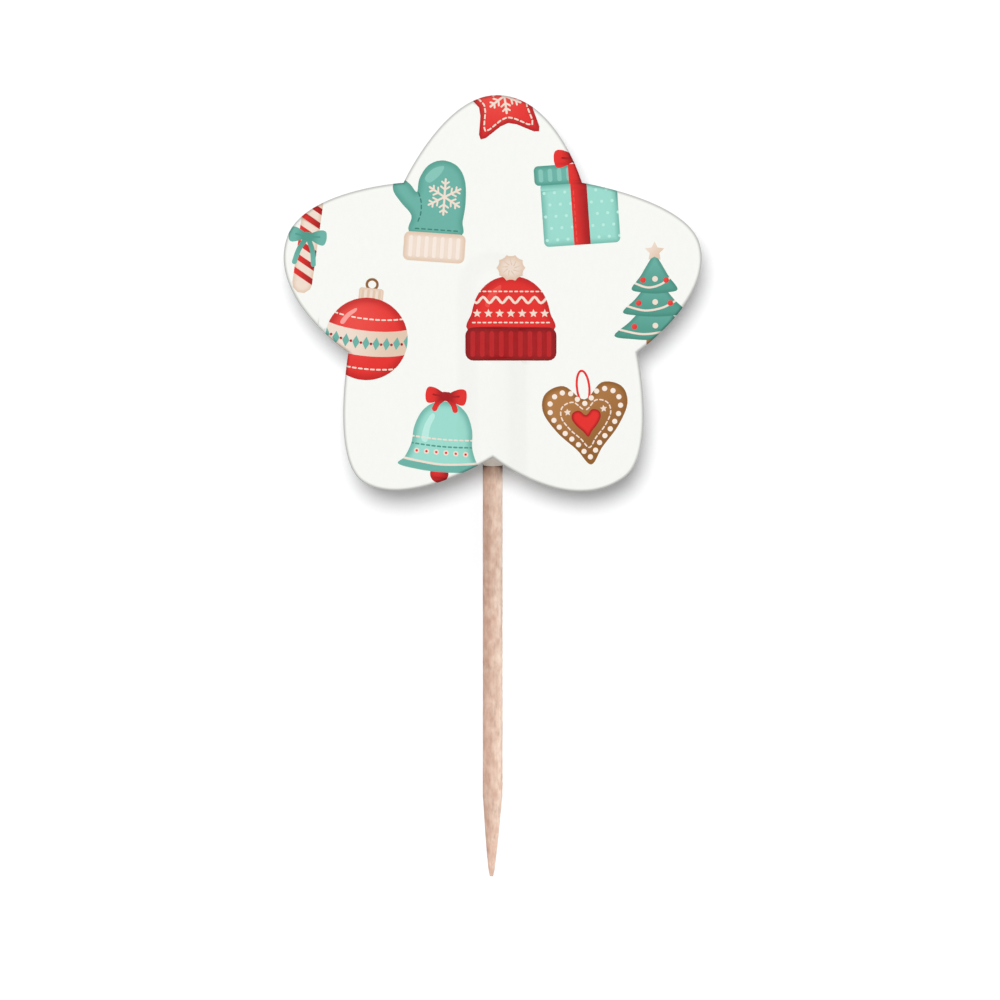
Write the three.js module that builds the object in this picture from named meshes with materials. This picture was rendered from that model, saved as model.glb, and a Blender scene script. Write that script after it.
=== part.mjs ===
// A star-shaped paper pick on a wooden stick, for the top of a small cake.
//
// Millimetres, +Z up. The origin is the stick's point, +Z runs up the stick's axis, the printed face
// looks toward -Y and +X is to the right as that face is seen.
//
// The card is a sandwich. A stiff printed card and a thinner backing sheet are stuck together by a
// double-sided film, all three cut to one outline. The stick's upper end lies between them in a pocket
// that the film leaves open, held to the printed card by a fillet of glue along each side.

import * as THREE from 'three';

// Stick
const STICK_LENGTH = 65;
const STICK_DIAMETER = 2.2;
const STICK_POINT_LENGTH = 8.8;
const STICK_POINT_WIDTH = 0.4;
const STICK_POINT_FULLNESS = 0.75;
const STICK_END_CHAMFER = 0.15;
const STICK_OVERLAP = 18.8;

// Star outline: five lobes, clockwise from the top as the printed face is seen
const NOTCH_RADIUS = 16.7;
const TOP_LOBE = { reach: 23.15, lean: 0.45, leftShoulder: 5.8, rightShoulder: 6.5 };
const RIGHT_LOBE = { reach: 23.75, lean: 0.45, leftShoulder: 5.0, rightShoulder: 6.2 };
const LOWER_RIGHT_LOBE = { reach: 23.85, lean: -0.6, leftShoulder: 4.6, rightShoulder: 7.6 };
const LOWER_LEFT_LOBE = { reach: 24.1, lean: 0.3, leftShoulder: 5.8, rightShoulder: 4.3 };
const LEFT_LOBE = { reach: 23.85, lean: 0.05, leftShoulder: 7.0, rightShoulder: 5.6 };
const LOBES = [TOP_LOBE, RIGHT_LOBE, LOWER_RIGHT_LOBE, LOWER_LEFT_LOBE, LEFT_LOBE];

// Sheets
const CARD_THICKNESS = 0.4;
const FILM_THICKNESS = 0.13;
const BACKING_THICKNESS = 0.2;
const CARD_RISE = 0.15;
const POCKET_WIDTH = 7.7;
const STICK_CLEARANCE = 0.05;
const FILM_SETBACK = 0.15;

// Glue fillets
const GLUE_REACH = 2.2;
const GLUE_CLIMB_ANGLE = 70;
const GLUE_GAP = 0.03;
const GLUE_END_MARGIN = 2;

// Fineness of the faceted surfaces
const LOBE_SEGMENTS = 32;
const STICK_SEGMENTS = 28;
const STICK_POINT_STEPS = 10;
const STICK_STEP_CROWDING = 1.5;
const POCKET_COLUMNS = 18;
const POCKET_END_ROWS = 7;
const GLUE_CURVE_STEPS = 6;

// Heights and depths that follow from the sizes above
const stickRadius = STICK_DIAMETER / 2;
const boreRadius = stickRadius + STICK_CLEARANCE;
const pocketHalfWidth = POCKET_WIDTH / 2;
const notchHeight = STICK_LENGTH - STICK_OVERLAP;
const starCentreHeight = notchHeight + NOTCH_RADIUS;
const cardBack = CARD_RISE - boreRadius;
const cardFront = cardBack - CARD_THICKNESS;
const filmBack = cardBack + FILM_THICKNESS;

// A point given in a lobe's own frame: across it, clockwise, and out along its middle line
function fromLobeFrame(turn, across, out) {
  const x = across * Math.cos(turn) + out * Math.sin(turn);
  const z = starCentreHeight - across * Math.sin(turn) + out * Math.cos(turn);
  return new THREE.Vector2(x, z);
}

// Half a lobe, from its notch to its tip: it leaves the notch nearly straight and rounds over
// into the tip along the shoulder
function halfLobe(index, side) {
  const lobe = LOBES[index];
  const halfTurn = Math.PI / LOBES.length;
  const turn = 2 * halfTurn * index;
  const shoulder = side < 0 ? lobe.leftShoulder : lobe.rightShoulder;
  const notchAcross = side * NOTCH_RADIUS * Math.sin(halfTurn);
  const notch = fromLobeFrame(turn, notchAcross, NOTCH_RADIUS * Math.cos(halfTurn));
  const round = fromLobeFrame(turn, lobe.lean + side * shoulder, lobe.reach);
  const tip = fromLobeFrame(turn, lobe.lean, lobe.reach);
  return new THREE.CubicBezierCurve(notch, notch, round, tip).getSpacedPoints(LOBE_SEGMENTS / 2);
}

// The whole outline, anticlockwise as the printed face is seen
function starOutline() {
  const outline = [];
  for (let index = 0; index < LOBES.length; index++) {
    outline.push(...halfLobe(index, -1).slice(0, -1));
    outline.push(...halfLobe(index, 1).reverse().slice(0, -1));
  }
  return outline.reverse();
}

// The lowest and highest point of the outline on the upright line at x
function outlineSpan(outline, x) {
  const heights = [];
  outline.forEach((start, index) => {
    const end = outline[(index + 1) % outline.length];
    const crosses = (start.x <= x) !== (end.x <= x);
    if (crosses) {
      heights.push(THREE.MathUtils.mapLinear(x, start.x, end.x, start.y, end.y));
    }
  });
  return [Math.min(...heights), Math.max(...heights)];
}

// Adds a contour to a plan as triangles
function addContour(plan, contour) {
  const first = plan.points.length;
  plan.points.push(...contour);
  for (const triangle of THREE.ShapeUtils.triangulateShape(contour, [])) {
    plan.triangles.push(triangle.map((corner) => corner + first));
  }
}

// The part of the outline on one side of the pocket, as a closed contour
function outlineWing(outline, side, edge) {
  const [low, high] = outlineSpan(outline, side * edge);
  const beyond = (point) => point.x * side > edge;
  const start = outline.findIndex((point, index) => {
    const previous = outline[(index + outline.length - 1) % outline.length];
    return beyond(point) && !beyond(previous);
  });
  const run = [];
  for (let step = 0; step < outline.length; step++) {
    const point = outline[(start + step) % outline.length];
    if (!beyond(point)) {
      break;
    }
    run.push(point);
  }
  const lowEnd = new THREE.Vector2(side * edge, low);
  const highEnd = new THREE.Vector2(side * edge, high);
  return side > 0 ? [lowEnd, ...run, highEnd] : [highEnd, ...run, lowEnd];
}

// The star as a plan of triangles, with upright columns and level rows over the pocket so that the
// sheet can rise over the stick there
function pocketedPlan(outline) {
  const plan = { points: [], triangles: [] };
  addContour(plan, outlineWing(outline, 1, pocketHalfWidth));
  addContour(plan, outlineWing(outline, -1, pocketHalfWidth));

  const columns = [];
  for (let column = 0; column <= POCKET_COLUMNS; column++) {
    const x = THREE.MathUtils.lerp(-pocketHalfWidth, pocketHalfWidth, column / POCKET_COLUMNS);
    const [low, high] = outlineSpan(outline, x);
    const heights = [low];
    const atPocketSide = column === 0 || column === POCKET_COLUMNS;
    if (!atPocketSide) {
      for (let row = 0; row <= POCKET_END_ROWS; row++) {
        heights.push(STICK_LENGTH + pocketHalfWidth * row / POCKET_END_ROWS);
      }
    }
    heights.push(high);
    columns.push(heights.map((height) => plan.points.push(new THREE.Vector2(x, height)) - 1));
  }

  for (let column = 0; column < POCKET_COLUMNS; column++) {
    joinColumns(plan, columns[column], columns[column + 1]);
  }
  return plan;
}

// Fills the space between two neighbouring columns; the pocket's sides have only their two ends
function joinColumns(plan, left, right) {
  const last = Math.max(left.length, right.length) - 1;
  const pick = (column, row) => (column.length > 2 ? column[row] : column[row === last ? 1 : 0]);
  for (let row = 0; row < last; row++) {
    const corners = [pick(left, row), pick(right, row), pick(right, row + 1), pick(left, row + 1)];
    for (const [a, b, c] of [[0, 1, 2], [0, 2, 3]]) {
      const triangle = [corners[a], corners[b], corners[c]];
      if (new Set(triangle).size === 3) {
        plan.triangles.push(triangle);
      }
    }
  }
}

// The star less the pocket, whose upper end is round
function slottedPlan(outline) {
  const slotRadius = pocketHalfWidth + FILM_SETBACK;
  const inMouth = (point) => Math.abs(point.x) <= slotRadius && point.y < starCentreHeight;
  const start = outline.findIndex((point, index) => {
    const previous = outline[(index + outline.length - 1) % outline.length];
    return !inMouth(point) && inMouth(previous);
  });
  const turned = [...outline.slice(start), ...outline.slice(0, start)];
  const slotEnd = new THREE.Path().absarc(0, STICK_LENGTH, slotRadius, Math.PI, 0, true);
  const contour = [
    new THREE.Vector2(slotRadius, outlineSpan(outline, slotRadius)[0]),
    ...turned.filter((point) => !inMouth(point)),
    new THREE.Vector2(-slotRadius, outlineSpan(outline, -slotRadius)[0]),
    ...slotEnd.getPoints(POCKET_COLUMNS),
  ];
  const plan = { points: [], triangles: [] };
  addContour(plan, contour);
  return plan;
}

// The edges that only one triangle uses, each with the sheet on its left
function boundaryEdges(triangles) {
  const key = (a, b) => `${a} ${b}`;
  const directed = new Set();
  const edges = triangles.flatMap(([a, b, c]) => [[a, b], [b, c], [c, a]]);
  edges.forEach(([a, b]) => directed.add(key(a, b)));
  return edges.filter(([a, b]) => !directed.has(key(b, a)));
}

// Gives each place in the plan one number, so that neighbours share their corners
function mergePlan(plan) {
  const numbers = new Map();
  const points = [];
  const merged = plan.points.map((point) => {
    const place = `${point.x.toFixed(6)} ${point.y.toFixed(6)}`;
    if (!numbers.has(place)) {
      numbers.set(place, points.push(point) - 1);
    }
    return numbers.get(place);
  });
  const triangles = plan.triangles.map((triangle) => triangle.map((corner) => merged[corner]));
  return { points, triangles };
}

// A closed sheet over a plan: its front and back surfaces give y at each (x, z)
function sheetGeometry(unmergedPlan, frontAt, backAt) {
  const plan = mergePlan(unmergedPlan);
  const count = plan.points.length;
  const positions = [];
  for (const surfaceAt of [frontAt, backAt]) {
    for (const { x, y: z } of plan.points) {
      positions.push(x, surfaceAt(x, z), z);
    }
  }
  const indices = [];
  for (const [a, b, c] of plan.triangles) {
    indices.push(a, b, c);
    indices.push(a + count, c + count, b + count);
  }
  for (const [a, b] of boundaryEdges(plan.triangles)) {
    indices.push(a, a + count, b);
    indices.push(b, a + count, b + count);
  }
  const geometry = new THREE.BufferGeometry();
  geometry.setAttribute('position', new THREE.Float32BufferAttribute(positions, 3));
  geometry.setIndex(indices);
  return geometry;
}

// How far a place is from the stick's axis, or from the axis's end above the stick
function distanceFromStick(x, z) {
  return Math.hypot(x, Math.max(0, z - STICK_LENGTH));
}

// The stiff card's gentle ridge over the stick
function cardRiseAt(x, z) {
  const across = Math.min(1, distanceFromStick(x, z) / pocketHalfWidth);
  return CARD_RISE * (1 + Math.cos(Math.PI * across)) / 2;
}

// The backing sheet's inner surface: flat on the film, then a straight flank up from the pocket's
// side that meets the stick's round back at a tangent
function backingFrontAt(x, z) {
  const distance = distanceFromStick(x, z);
  const flankLength = Math.hypot(pocketHalfWidth, filmBack);
  const tangentAngle = Math.atan2(filmBack, pocketHalfWidth) + Math.acos(boreRadius / flankLength);
  const tangentX = boreRadius * Math.cos(tangentAngle);
  const tangentY = boreRadius * Math.sin(tangentAngle);
  if (distance >= pocketHalfWidth) {
    return filmBack;
  }
  if (distance <= tangentX) {
    return Math.sqrt(boreRadius ** 2 - distance ** 2);
  }
  return THREE.MathUtils.mapLinear(distance, tangentX, pocketHalfWidth, tangentY, filmBack);
}

function frontCardGeometry(outline) {
  const ridge = (level) => (x, z) => level - cardRiseAt(x, z);
  return sheetGeometry(pocketedPlan(outline), ridge(cardFront), ridge(cardBack));
}

function backingSheetGeometry(outline) {
  const backAt = (x, z) => backingFrontAt(x, z) + BACKING_THICKNESS;
  return sheetGeometry(pocketedPlan(outline), backingFrontAt, backAt);
}

function adhesiveFilmGeometry(outline) {
  return sheetGeometry(slottedPlan(outline), () => cardBack, () => filmBack);
}

// The stick: a blunt point that fills out to a straight shank, and a square end with a small chamfer
function stickGeometry() {
  const pointRadius = STICK_POINT_WIDTH / 2;
  const profile = [new THREE.Vector2(0, 0)];
  for (let step = 0; step <= STICK_POINT_STEPS; step++) {
    const along = (step / STICK_POINT_STEPS) ** STICK_STEP_CROWDING;
    const fullness = along ** STICK_POINT_FULLNESS;
    const radius = THREE.MathUtils.lerp(pointRadius, stickRadius, fullness);
    profile.push(new THREE.Vector2(radius, STICK_POINT_LENGTH * along));
  }
  profile.push(
    new THREE.Vector2(stickRadius, STICK_LENGTH - STICK_END_CHAMFER),
    new THREE.Vector2(stickRadius - STICK_END_CHAMFER, STICK_LENGTH),
    new THREE.Vector2(0, STICK_LENGTH),
  );
  return new THREE.LatheGeometry(profile, STICK_SEGMENTS).rotateX(Math.PI / 2);
}

// A fillet of glue in the corner between the stick's side and the printed card
function glueFilletGeometry(side) {
  const seatRadius = stickRadius + GLUE_GAP;
  const climb = THREE.MathUtils.degToRad(GLUE_CLIMB_ANGLE);
  const cardSide = cardBack - cardRiseAt(GLUE_REACH, notchHeight) + GLUE_GAP;
  const start = Math.acos(-cardSide / seatRadius);
  const section = [];
  for (let step = 0; step <= GLUE_CURVE_STEPS; step++) {
    const angle = THREE.MathUtils.lerp(climb, start, step / GLUE_CURVE_STEPS);
    section.push(new THREE.Vector2(seatRadius * Math.sin(angle), -seatRadius * Math.cos(angle)));
  }
  const toe = new THREE.Vector2(GLUE_REACH, cardSide);
  const corner = new THREE.Vector2(seatRadius, cardSide);
  const face = new THREE.QuadraticBezierCurve(toe, corner, section[0]);
  section.push(...face.getPoints(GLUE_CURVE_STEPS).slice(0, -1));
  const placed = section.map((point) => new THREE.Vector2(side * point.x, point.y));

  const low = notchHeight + GLUE_END_MARGIN;
  const depth = STICK_LENGTH - GLUE_END_MARGIN - low;
  const geometry = new THREE.ExtrudeGeometry(new THREE.Shape(placed), { depth, bevelEnabled: false });
  return geometry.translate(0, 0, low);
}

function paint(color, roughness) {
  return new THREE.MeshStandardMaterial({ color, roughness, metalness: 0 });
}

function addPart(group, name, geometry, material) {
  const mesh = new THREE.Mesh(geometry, material);
  mesh.name = name;
  group.add(mesh);
}

const outline = starOutline();
const pick = new THREE.Group();
addPart(pick, 'front_card', frontCardGeometry(outline), paint(0xf7f8f3, 0.55));
addPart(pick, 'adhesive_film', adhesiveFilmGeometry(outline), paint(0xe9e4d6, 0.4));
addPart(pick, 'backing_sheet', backingSheetGeometry(outline), paint(0xf3f3ef, 0.8));
addPart(pick, 'stick', stickGeometry(), paint(0xd8b9a4, 0.7));
addPart(pick, 'glue_fillet_left', glueFilletGeometry(-1), paint(0xefe8d4, 0.35));
addPart(pick, 'glue_fillet_right', glueFilletGeometry(1), paint(0xefe8d4, 0.35));

export default pick;
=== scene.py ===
import math

import bpy
import numpy as np
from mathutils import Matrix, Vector
from mathutils.geometry import delaunay_2d_cdt


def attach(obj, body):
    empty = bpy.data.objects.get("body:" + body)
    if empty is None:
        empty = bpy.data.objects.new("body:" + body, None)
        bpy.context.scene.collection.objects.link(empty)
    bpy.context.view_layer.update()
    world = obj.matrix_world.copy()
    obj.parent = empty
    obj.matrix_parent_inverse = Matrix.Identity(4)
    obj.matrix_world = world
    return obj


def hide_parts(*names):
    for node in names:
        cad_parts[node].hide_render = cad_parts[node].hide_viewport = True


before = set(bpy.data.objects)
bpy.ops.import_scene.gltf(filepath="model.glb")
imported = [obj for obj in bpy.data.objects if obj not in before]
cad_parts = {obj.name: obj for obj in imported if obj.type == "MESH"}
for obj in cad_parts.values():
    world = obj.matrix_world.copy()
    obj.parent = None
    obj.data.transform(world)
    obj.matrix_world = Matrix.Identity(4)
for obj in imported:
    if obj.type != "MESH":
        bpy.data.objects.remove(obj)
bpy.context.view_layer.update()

MM = 0.001

# Stick, in millimetres like every size below but the lamps'
STICK_LENGTH = 65
STICK_RADIUS = 1.1
STICK_POINT_LENGTH = 8.8
STICK_POINT_RADIUS = 0.2
STICK_POINT_FULLNESS = 0.75
STICK_POINT_LEAN = 0.14
STICK_END_CHAMFER = 0.15
STICK_SIDES = 48
SHANK_RINGS = 200
POINT_RINGS = 40
POINT_RING_CROWDING = 1.5

# Ripples of the turned wood: height, waves round the stick, and radians of wave to a millimetre up it
SHANK_RIPPLES = ((0.012, 5, 0.05), (0.008, 11, 0.11), (0.006, 0, 0.9))
POINT_RIPPLE = (0.02, 3, 0.5)

# Heights between which the wood turns darker upwards, a painted shadow of the card over the stick below the
# notch
PAINTED_CARD_SHADOW_HEIGHTS = (43.4, 45.4)

# Heights between which the shank and the point turn paler downwards
PALER_SHANK = (36, 18)
PALER_POINT = (7, 2)

# Star outline: reach, lean, left shoulder and right shoulder of each lobe, clockwise from the top
STAR_CENTRE_HEIGHT = 62.9
NOTCH_RADIUS = 16.7
LOBES = [
    (23.15, 0.45, 5.8, 6.5),
    (23.75, 0.45, 5.0, 6.2),
    (23.85, -0.6, 4.6, 7.6),
    (24.1, 0.3, 5.8, 4.3),
    (23.85, 0.05, 7.0, 5.6),
]
HALF_LOBE_STEPS = 40
HALF_LOBE_FINE_STEPS = 200

# Sheets, front to back along +Y
POCKET_HALF_WIDTH = 3.85
BORE_RADIUS = 1.15
CARD_RISE = 0.15
CARD_THICKNESS = 0.4
CARD_BACK = CARD_RISE - BORE_RADIUS
CARD_FRONT = CARD_BACK - CARD_THICKNESS
FILM_THICKNESS = 0.13
FILM_BACK = CARD_BACK + FILM_THICKNESS
BACKING_THICKNESS = 0.2
CREASE_ROUNDING = 0.09

# How far the drawn outline stays inside the CAD's, whose straight steps cut its curves
OUTLINE_CLEARANCE = 0.004

# Bead of glue that closes the notch in front of the stick, coloured grey as painted shade
BEAD_FOOT = 45.3
BEAD_SETBACK = 0.14
BEAD_FRONT = CARD_FRONT - CARD_RISE + BEAD_SETBACK
BEAD_SIDE_OVERLAP = 0.04
BEAD_SAG = 0.08
BEAD_SKIN = 0.03
BEAD_ROOT = 0.05
BEAD_MIDDLE_ROOT = 0.1
BEAD_TOP_POINTS = 19
BEAD_FOOT_POINTS = 15

# Edge of the card: how far its grey line of painted shade reaches in, how far the edge falls and how dark
# the line is
EDGE_WIDTH = 0.36
EDGE_DROP = 0.05
EDGE_PAINTED_SHADE = 0.5
EDGE_RINGS = 5

# The nearest that a loose point of the print comes to the edge
EDGE_CLEARANCE = 0.036

# How much painted shade darkens the card over the stick's pocket
POCKET_PAINTED_SHADE = 0.036

# Pitch of each surface's grid of points and how far the grid stays inside its outline or rim
PRINT_GRID = (0.45, 0.12)
POCKET_GRID = (0.6, 0.3)
BACKING_GRID = (0.32, 0.1)
BEAD_GRID = (0.06, 0.02)
BACKING_RIM = 0.05

# Palette of the print, as sRGB
PAPER = "F6F7F2"
PALE_RED = "F9A29B"
LIGHT_RED = "EA4A42"
RED = "E22C28"
RIB_RED = "B91C20"
DARK_RED = "A20E13"
DEEP_RED = "82080E"
LIGHT_TEAL = "84C4B7"
TEAL = "69B0A3"
DARK_TEAL = "4E9787"
DEEP_TEAL = "3A7D6E"
LIGHT_MINT = "B9EADF"
MINT = "9ADACC"
LIGHT_CREAM = "F6E8DC"
CREAM = "EFDDCE"
DARK_CREAM = "E1C6AF"
BROWN = "B07A45"
DARK_BROWN = "8C5A26"

# Other colours, as sRGB
CARD_CORE = "E9E8E2"
BACK_PAPER = "F4F4EF"
FILM_GLUE = "EDE8DA"
FILLET_GLUE = "F1EADA"
# Painted shade: the grey of the bead in the notch
NOTCH_PAINTED_SHADE = "B7AEA4"
DARK_BIRCH = "DEBAA5"
PALE_BIRCH = "FBE3D0"
# Painted shade for the stick's left side
BIRCH_PAINTED_SHADE = "D6CAC6"
# Painted shadow of the card on the stick, just below the notch
BIRCH_PAINTED_SHADOW = "8E8076"
WHITE = "FFFFFF"


def linear(colour):
    """The linear RGB of an sRGB hex colour."""
    channels = np.array([int(colour[i:i + 2], 16) / 255 for i in (0, 2, 4)])
    return np.where(channels <= 0.04045, channels / 12.92, ((channels + 0.055) / 1.055) ** 2.4)


def rgba(colour):
    return (*linear(colour), 1)


def smooth(t):
    """A soft step from 0 to 1."""
    t = np.clip(t, 0, 1)
    return t * t * (3 - 2 * t)


# Lines and outlines

def unit(vectors):
    """The same vectors brought to length 1."""
    return vectors / np.maximum(1e-9, np.linalg.norm(vectors, axis=1))[:, None]


def left_of(directions):
    """Each direction turned a quarter turn anticlockwise."""
    return np.stack([-directions[:, 1], directions[:, 0]], axis=1)


def lengths_along(line):
    """How far along an open line each of its points is."""
    return np.r_[0, np.cumsum(np.linalg.norm(np.diff(line, axis=0), axis=1))]


def look_up(values, along, wanted):
    """What a line's points hold, at wanted distances along it."""
    return np.stack([np.interp(wanted, along, values[:, i]) for i in (0, 1)], axis=-1)


def even_spacing(line, steps):
    """The same open line with its points at even distances."""
    along = lengths_along(line)
    return look_up(line, along, np.linspace(0, along[-1], steps + 1))


def bezier(p0, p1, p2, p3, steps):
    t = np.linspace(0, 1, steps + 1)[:, None]
    return (1 - t) ** 3 * p0 + 3 * (1 - t) ** 2 * t * p1 + 3 * (1 - t) * t * t * p2 + t ** 3 * p3


def star_outline():
    """The card's outline about the star's centre, anticlockwise as the printed face is seen."""
    points = []
    half_turn = math.pi / len(LOBES)
    for index, (reach, lean, left, right) in enumerate(LOBES):
        turn = 2 * half_turn * index
        across = np.array([math.cos(turn), -math.sin(turn)])
        out = np.array([math.sin(turn), math.cos(turn)])
        tip = lean * across + reach * out
        for side, shoulder in ((-1, left), (1, right)):
            notch = NOTCH_RADIUS * (side * math.sin(half_turn) * across + math.cos(half_turn) * out)
            beside_tip = tip + side * shoulder * across
            fine = bezier(notch, notch, beside_tip, tip, HALF_LOBE_FINE_STEPS)
            half = even_spacing(fine, HALF_LOBE_STEPS)
            points.extend(half[:-1] if side < 0 else half[:0:-1])
    return np.array(points[::-1])


def inset(outline, distance, longest_mitre=2.5):
    """A closed anticlockwise outline moved inwards, square to its own line."""
    incoming = unit(outline - np.roll(outline, 1, axis=0))
    outgoing = unit(np.roll(outline, -1, axis=0) - outline)
    middle = unit(incoming + outgoing)
    mitre = 1 / np.maximum(1 / longest_mitre, np.sum(middle * incoming, axis=1))
    return outline + left_of(middle) * (distance * mitre)[:, None]


def signed_area(outline):
    """Positive for an anticlockwise outline."""
    following = np.roll(outline, -1, axis=0)
    return 0.5 * np.sum(outline[:, 0] * following[:, 1] - outline[:, 1] * following[:, 0])


def distance_to(points, outline):
    """Each point's distance to a closed outline."""
    nearest = np.full(len(points), np.inf)
    for a, b in zip(outline, np.roll(outline, -1, axis=0)):
        edge = b - a
        t = np.clip((points - a) @ edge / max(edge @ edge, 1e-12), 0, 1)
        nearest = np.minimum(nearest, np.linalg.norm(points - a - t[:, None] * edge, axis=1))
    return nearest


def inside(points, outline):
    """Whether each point lies inside a closed outline."""
    result = np.zeros(len(points), bool)
    x, y = points[:, 0], points[:, 1]
    for (ax, ay), (bx, by) in zip(outline, np.roll(outline, -1, axis=0)):
        if ay != by:
            crosses = (ay > y) != (by > y)
            result ^= crosses & (x < (bx - ax) * (y - ay) / (by - ay) + ax)
    return result


def grid_inside(outline, pitch, margin):
    """Grid points at least a margin inside an outline."""
    low, high = outline.min(0), outline.max(0)
    xs = np.arange(low[0], high[0], pitch)
    ys = np.arange(low[1], high[1], pitch)
    points = np.stack(np.meshgrid(xs, ys), axis=-1).reshape(-1, 2)
    points = points[inside(points, outline)]
    return points[distance_to(points, outline) > margin]


# Paints: each gives a linear colour for every point

def flat(colour):
    return lambda p: np.tile(linear(colour), (len(p), 1))


def fade(start, end, first, last):
    """Shades from the first colour at start to the last at end."""
    start, end = np.array(start, float), np.array(end, float)
    line = end - start

    def paint(p):
        t = smooth((p - start) @ line / (line @ line))[:, None]
        return linear(first) * (1 - t) + linear(last) * t
    return paint


def glow(centre, radius, middle, rim):
    """Shades outwards from the middle colour at the centre."""
    def paint(p):
        t = smooth(np.linalg.norm(p - np.array(centre), axis=1) / radius)[:, None]
        return linear(middle) * (1 - t) + linear(rim) * t
    return paint


def rimmed(paint, outline, width, rim, strength):
    """Another paint whose colour turns into the rim's near the outline."""
    def shaded(p):
        t = strength * (1 - smooth(distance_to(p, outline) / width))[:, None]
        return paint(p) * (1 - t) + linear(rim) * t
    return shaded


# Shapes for the print

def around(x, y, rx, ry, angles):
    """Points about a centre, at angles from its right side."""
    return np.stack([x + rx * np.cos(angles), y + ry * np.sin(angles)], axis=1)


def ellipse(x, y, rx, ry=None, steps=28, start=0, end=360):
    """An ellipse, or an arc of one between two angles. With one radius it is round."""
    angles = np.radians(np.linspace(start, end, steps, endpoint=abs(end - start) < 360))
    return around(x, y, rx, ry or rx, angles)


def rounded(x0, y0, x1, y1, radius, steps=5):
    """A box with round corners."""
    left, right = x0 + radius, x1 - radius
    low, high = y0 + radius, y1 - radius
    corners = ((right, low, -90), (right, high, 0), (left, high, 90), (left, low, 180))
    return np.concatenate([ellipse(x, y, radius, radius, steps, a, a + 90) for x, y, a in corners])


def pointed_star(x, y, radius, depth=0.45):
    """A star with five points, whose notches lie at the given share of its radius."""
    radii = radius * np.tile([1, depth], 5)
    return around(x, y, radii, radii, np.radians(np.arange(90, 450, 36)))


def mirrored(right_side):
    """A whole outline from its right side. Points on the middle line aren't doubled."""
    return right_side + [(-x, y) for x, y in reversed(right_side) if x > 0]


def curve(points, steps=6, closed=True):
    """A smooth line through the points."""
    p = np.array(points, float)
    p = np.concatenate([p[-1:], p, p[:2]] if closed else [p[:1], p, p[-1:]])
    line = []
    for a, b, c, d in zip(p, p[1:], p[2:], p[3:]):
        for t in np.arange(steps) / steps:
            line.append(0.5 * (2 * b + (c - a) * t + (2 * a - 5 * b + 4 * c - d) * t ** 2
                               + (3 * b - a - 3 * c + d) * t ** 3))
    if not closed:
        line.append(p[-1])
    return np.array(line)


def heart(half, height, y):
    right_side = [(0, 0.62), (0.45, 1.0), (0.9, 0.86), (1.0, 0.42), (0.72, -0.12), (0.3, -0.6), (0, -1.0)]
    return curve([(half * px, y + height * py) for px, py in mirrored(right_side)])


def looped(outline):
    """A closed outline as an open line that ends where it starts."""
    return np.concatenate([outline, outline[:1]])


def ribbon(path, width, taper=0.0):
    """The outline of a line of the given width with round ends. A taper narrows its far end."""
    path = np.array(path, float)
    normal = left_of(unit(np.gradient(path, axis=0)))
    half = width / 2 * (1 - taper * np.linspace(0, 1, len(path)))
    offset = normal * half[:, None]
    caps = []
    for end, sign in ((-1, 1), (0, -1)):
        square = sign * normal[end]
        angles = math.atan2(square[1], square[0]) - np.radians([30, 70, 110, 150])
        caps.append(around(*path[end], half[end], half[end], angles))
    return np.concatenate([path + offset, caps[0], (path - offset)[::-1], caps[1]])[::-1]


class Print:
    """The shapes of the printed face, later ones over earlier ones."""

    def __init__(self):
        self.outlines = []
        self.paints = []
        self.limits = []
        self.loose = []

    def add(self, outline, paint, limits=()):
        """Adds a shape that shows only where all its limits are too, and gives its number."""
        self.outlines.append(outline)
        self.paints.append(paint)
        self.limits.append(frozenset(limits))
        return len(self.outlines) - 1


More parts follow.
